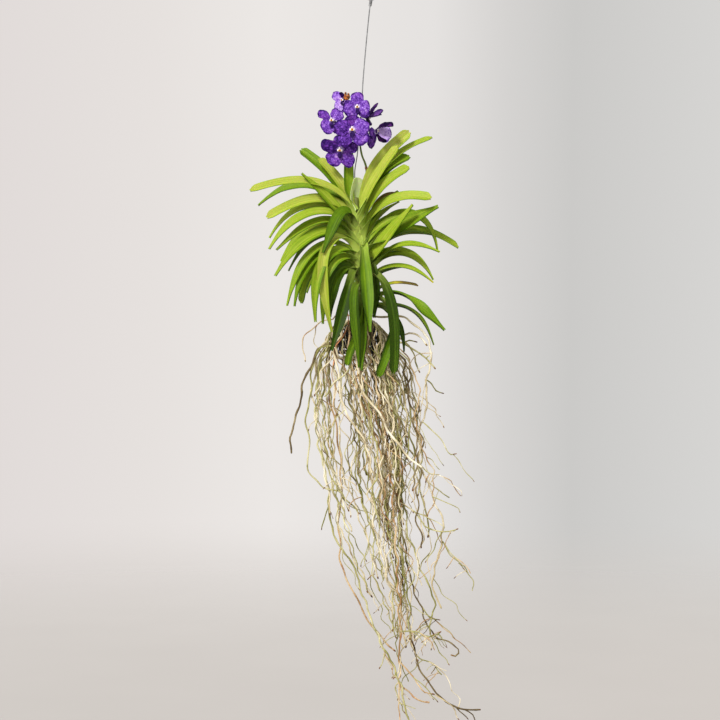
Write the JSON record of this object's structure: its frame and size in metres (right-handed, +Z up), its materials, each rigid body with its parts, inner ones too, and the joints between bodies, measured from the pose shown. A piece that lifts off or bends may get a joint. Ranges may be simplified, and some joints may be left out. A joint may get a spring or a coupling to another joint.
{
  "type": "vanda orchid in a hanging basket",
  "caption": "Vanda orchid in bloom: blue-violet flowers over two ranks of arching strap leaves, with long bare aerial roots falling from a small slatted basket on a wire hanger.",
  "frame": {"origin": "where a hook bears on the inside of the hanger's top eye", "axes": "+Z up along the hang of the plant, -Y towards the side that the flowers face, +X to the right of that side"},
  "size_m": [0.497, 0.1555, 1.5397],
  "materials": {
    "leaf": "waxy green leaf, brighter on its upper face (leather stands in for living leaf)",
    "root": "matt silvery to tan skin of an aerial root (wood stands in for living root)",
    "flower_stalk": "smooth green stalk (leather stands in for living stem)",
    "dried_bud": "dry papery brown",
    "petal": "soft satin petal with a darker net of veins (leather stands in for living petal)",
    "column": "waxy cream with a yellow spot (leather stands in for living tissue)",
    "lip": "velvety dark violet (leather stands in for living tissue)",
    "basket": "matt black moulded slats",
    "wire": "dull galvanised wire"
  },
  "bodies": {
    "root": {"leafy_stem": "leaf", "roots": "root", "flower_spike": "flower_stalk", "dried_buds": "dried_bud", "bloom_top_petals": "petal", "bloom_top_column": "column", "bloom_top_lip": "lip", "bloom_middle_petals": "petal", "bloom_middle_column": "column", "bloom_middle_lip": "lip", "bloom_left_petals": "petal", "bloom_left_column": "column", "bloom_left_lip": "lip", "bloom_low_petals": "petal", "bloom_low_column": "column", "bloom_low_lip": "lip", "bloom_upper_left_petals": "petal", "bloom_upper_left_column": "column", "bloom_upper_left_lip": "lip", "bloom_right_petals": "petal", "bloom_right_column": "column", "bloom_right_lip": "lip", "bloom_lower_right_petals": "petal", "bloom_lower_right_column": "column", "bloom_lower_right_lip": "lip", "basket": "basket", "wire_hanger": "wire"}
  },
  "joints": []
}
